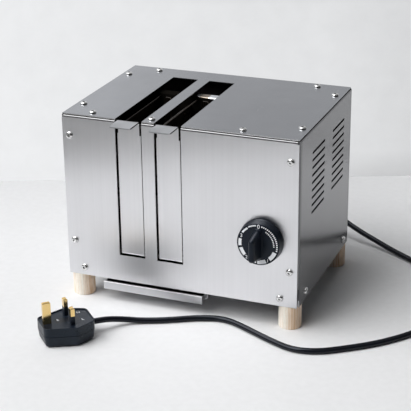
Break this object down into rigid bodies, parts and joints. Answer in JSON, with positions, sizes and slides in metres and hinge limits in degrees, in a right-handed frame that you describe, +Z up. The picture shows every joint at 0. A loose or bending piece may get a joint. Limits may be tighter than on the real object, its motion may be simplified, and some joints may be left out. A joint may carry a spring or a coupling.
{
  "type": "drop side toaster",
  "caption": "Boxy folded steel toaster on dowel feet, with two narrow bottom-hinged doors that swing toast cradles out, a round timer knob, a crumb tray and a mains lead with its plug.",
  "frame": {"origin": "on the table, below the middle of the body with its knob and screw heads", "axes": "+X to the right seen from the front, +Y from the doors to the back, +Z up"},
  "size_m": [0.3851, 0.3636, 0.2017],
  "materials": {
    "casing_steel": "fine brushed grain, half gloss",
    "front_steel": "vertical brushed grain, satin",
    "top_steel": "fine brushed grain, satin",
    "inner_steel": "plain mill finish",
    "tray_steel": "satin",
    "door_steel": "vertical brushed grain, satin",
    "cradle_steel": "satin, tinted by heat",
    "screw_steel": "bright stainless",
    "pin_steel": "bright",
    "zinc_plate": "zinc plated",
    "beech": "bare, fine grain along the dowel",
    "mica": "layered, matt",
    "heating_ribbon": "dull",
    "brass": "polished",
    "link_wire": "dull nickel",
    "knob_plastic": "semi-gloss black",
    "timer_plastic": "moulded, matt black",
    "block_plastic": "moulded, matt white",
    "lead_sleeve": "heat-proof sleeving, matt",
    "relief_rubber": "moulded, satin black",
    "cord_rubber": "smooth, glossy black",
    "plug_plastic": "moulded, semi-gloss black",
    "fuse_carrier_plastic": "moulded, satin black"
  },
  "bodies": {
    "casing": {"rear_panel": "casing_steel", "left_side_panel": "casing_steel", "right_side_panel": "casing_steel", "front_panel": "front_steel", "top_plate": "top_steel", "base_plate": "inner_steel", "left_tray_runner": "inner_steel", "right_tray_runner": "inner_steel", "front_frame_plate": "inner_steel", "rear_frame_plate": "inner_steel", "left_heat_shield": "inner_steel", "right_heat_shield": "inner_steel", "timer_plate": "inner_steel", "top_screws": "screw_steel", "front_screws": "screw_steel", "rear_screws": "screw_steel", "side_screws": "screw_steel", "foot_screws": "screw_steel", "frame_screws": "screw_steel", "timer_screws": "screw_steel", "left_hinge_pin": "pin_steel", "right_hinge_pin": "pin_steel", "left_guard_wires": "pin_steel", "right_guard_wires": "pin_steel", "panel_nuts": "zinc_plate", "frame_nuts": "zinc_plate", "timer_terminals": "zinc_plate", "front_left_foot": "beech", "front_right_foot": "beech", "rear_left_foot": "beech", "rear_right_foot": "beech", "left_element_board": "mica", "centre_element_board": "mica", "right_element_board": "mica", "left_element_ribbon": "heating_ribbon", "centre_element_ribbon": "heating_ribbon", "right_element_ribbon": "heating_ribbon", "element_terminals": "brass", "earth_pin": "brass", "line_pins": "brass", "element_links": "link_wire", "timer_case": "timer_plastic", "terminal_block": "block_plastic", "supply_leads": "lead_sleeve", "switch_leads": "lead_sleeve", "strain_relief": "relief_rubber", "power_cord": "cord_rubber", "plug_base": "plug_plastic", "plug_cover": "plug_plastic", "pin_sleeves": "plug_plastic", "fuse_carrier": "fuse_carrier_plastic"},
    "left_door": {"left_door": "door_steel", "left_cradle": "cradle_steel"},
    "right_door": {"right_door": "door_steel", "right_cradle": "cradle_steel"},
    "knob": {"knob": "knob_plastic", "timer_shaft": "pin_steel"},
    "crumb_tray": {"crumb_tray": "tray_steel"}
  },
  "joints": [
    {"name": "left_door_drop", "type": "hinge", "parent": "casing", "child": "left_door", "pos_m": [-0.0516, -0.0696, 0.05635], "axis": [1, 0, 0], "range_deg": [0, 90]},
    {"name": "right_door_drop", "type": "hinge", "parent": "casing", "child": "right_door", "pos_m": [-0.01, -0.0696, 0.05635], "axis": [1, 0, 0], "range_deg": [0, 90]},
    {"name": "knob_turn", "type": "hinge", "parent": "casing", "child": "knob", "pos_m": [0.0874, -0.07435, 0.093], "axis": [0, 1, 0], "range_deg": [0, 250]},
    {"name": "crumb_tray_slide", "type": "slide", "parent": "casing", "child": "crumb_tray", "axis": [0, -1, 0], "range_m": [0, 0.05]}
  ]
}
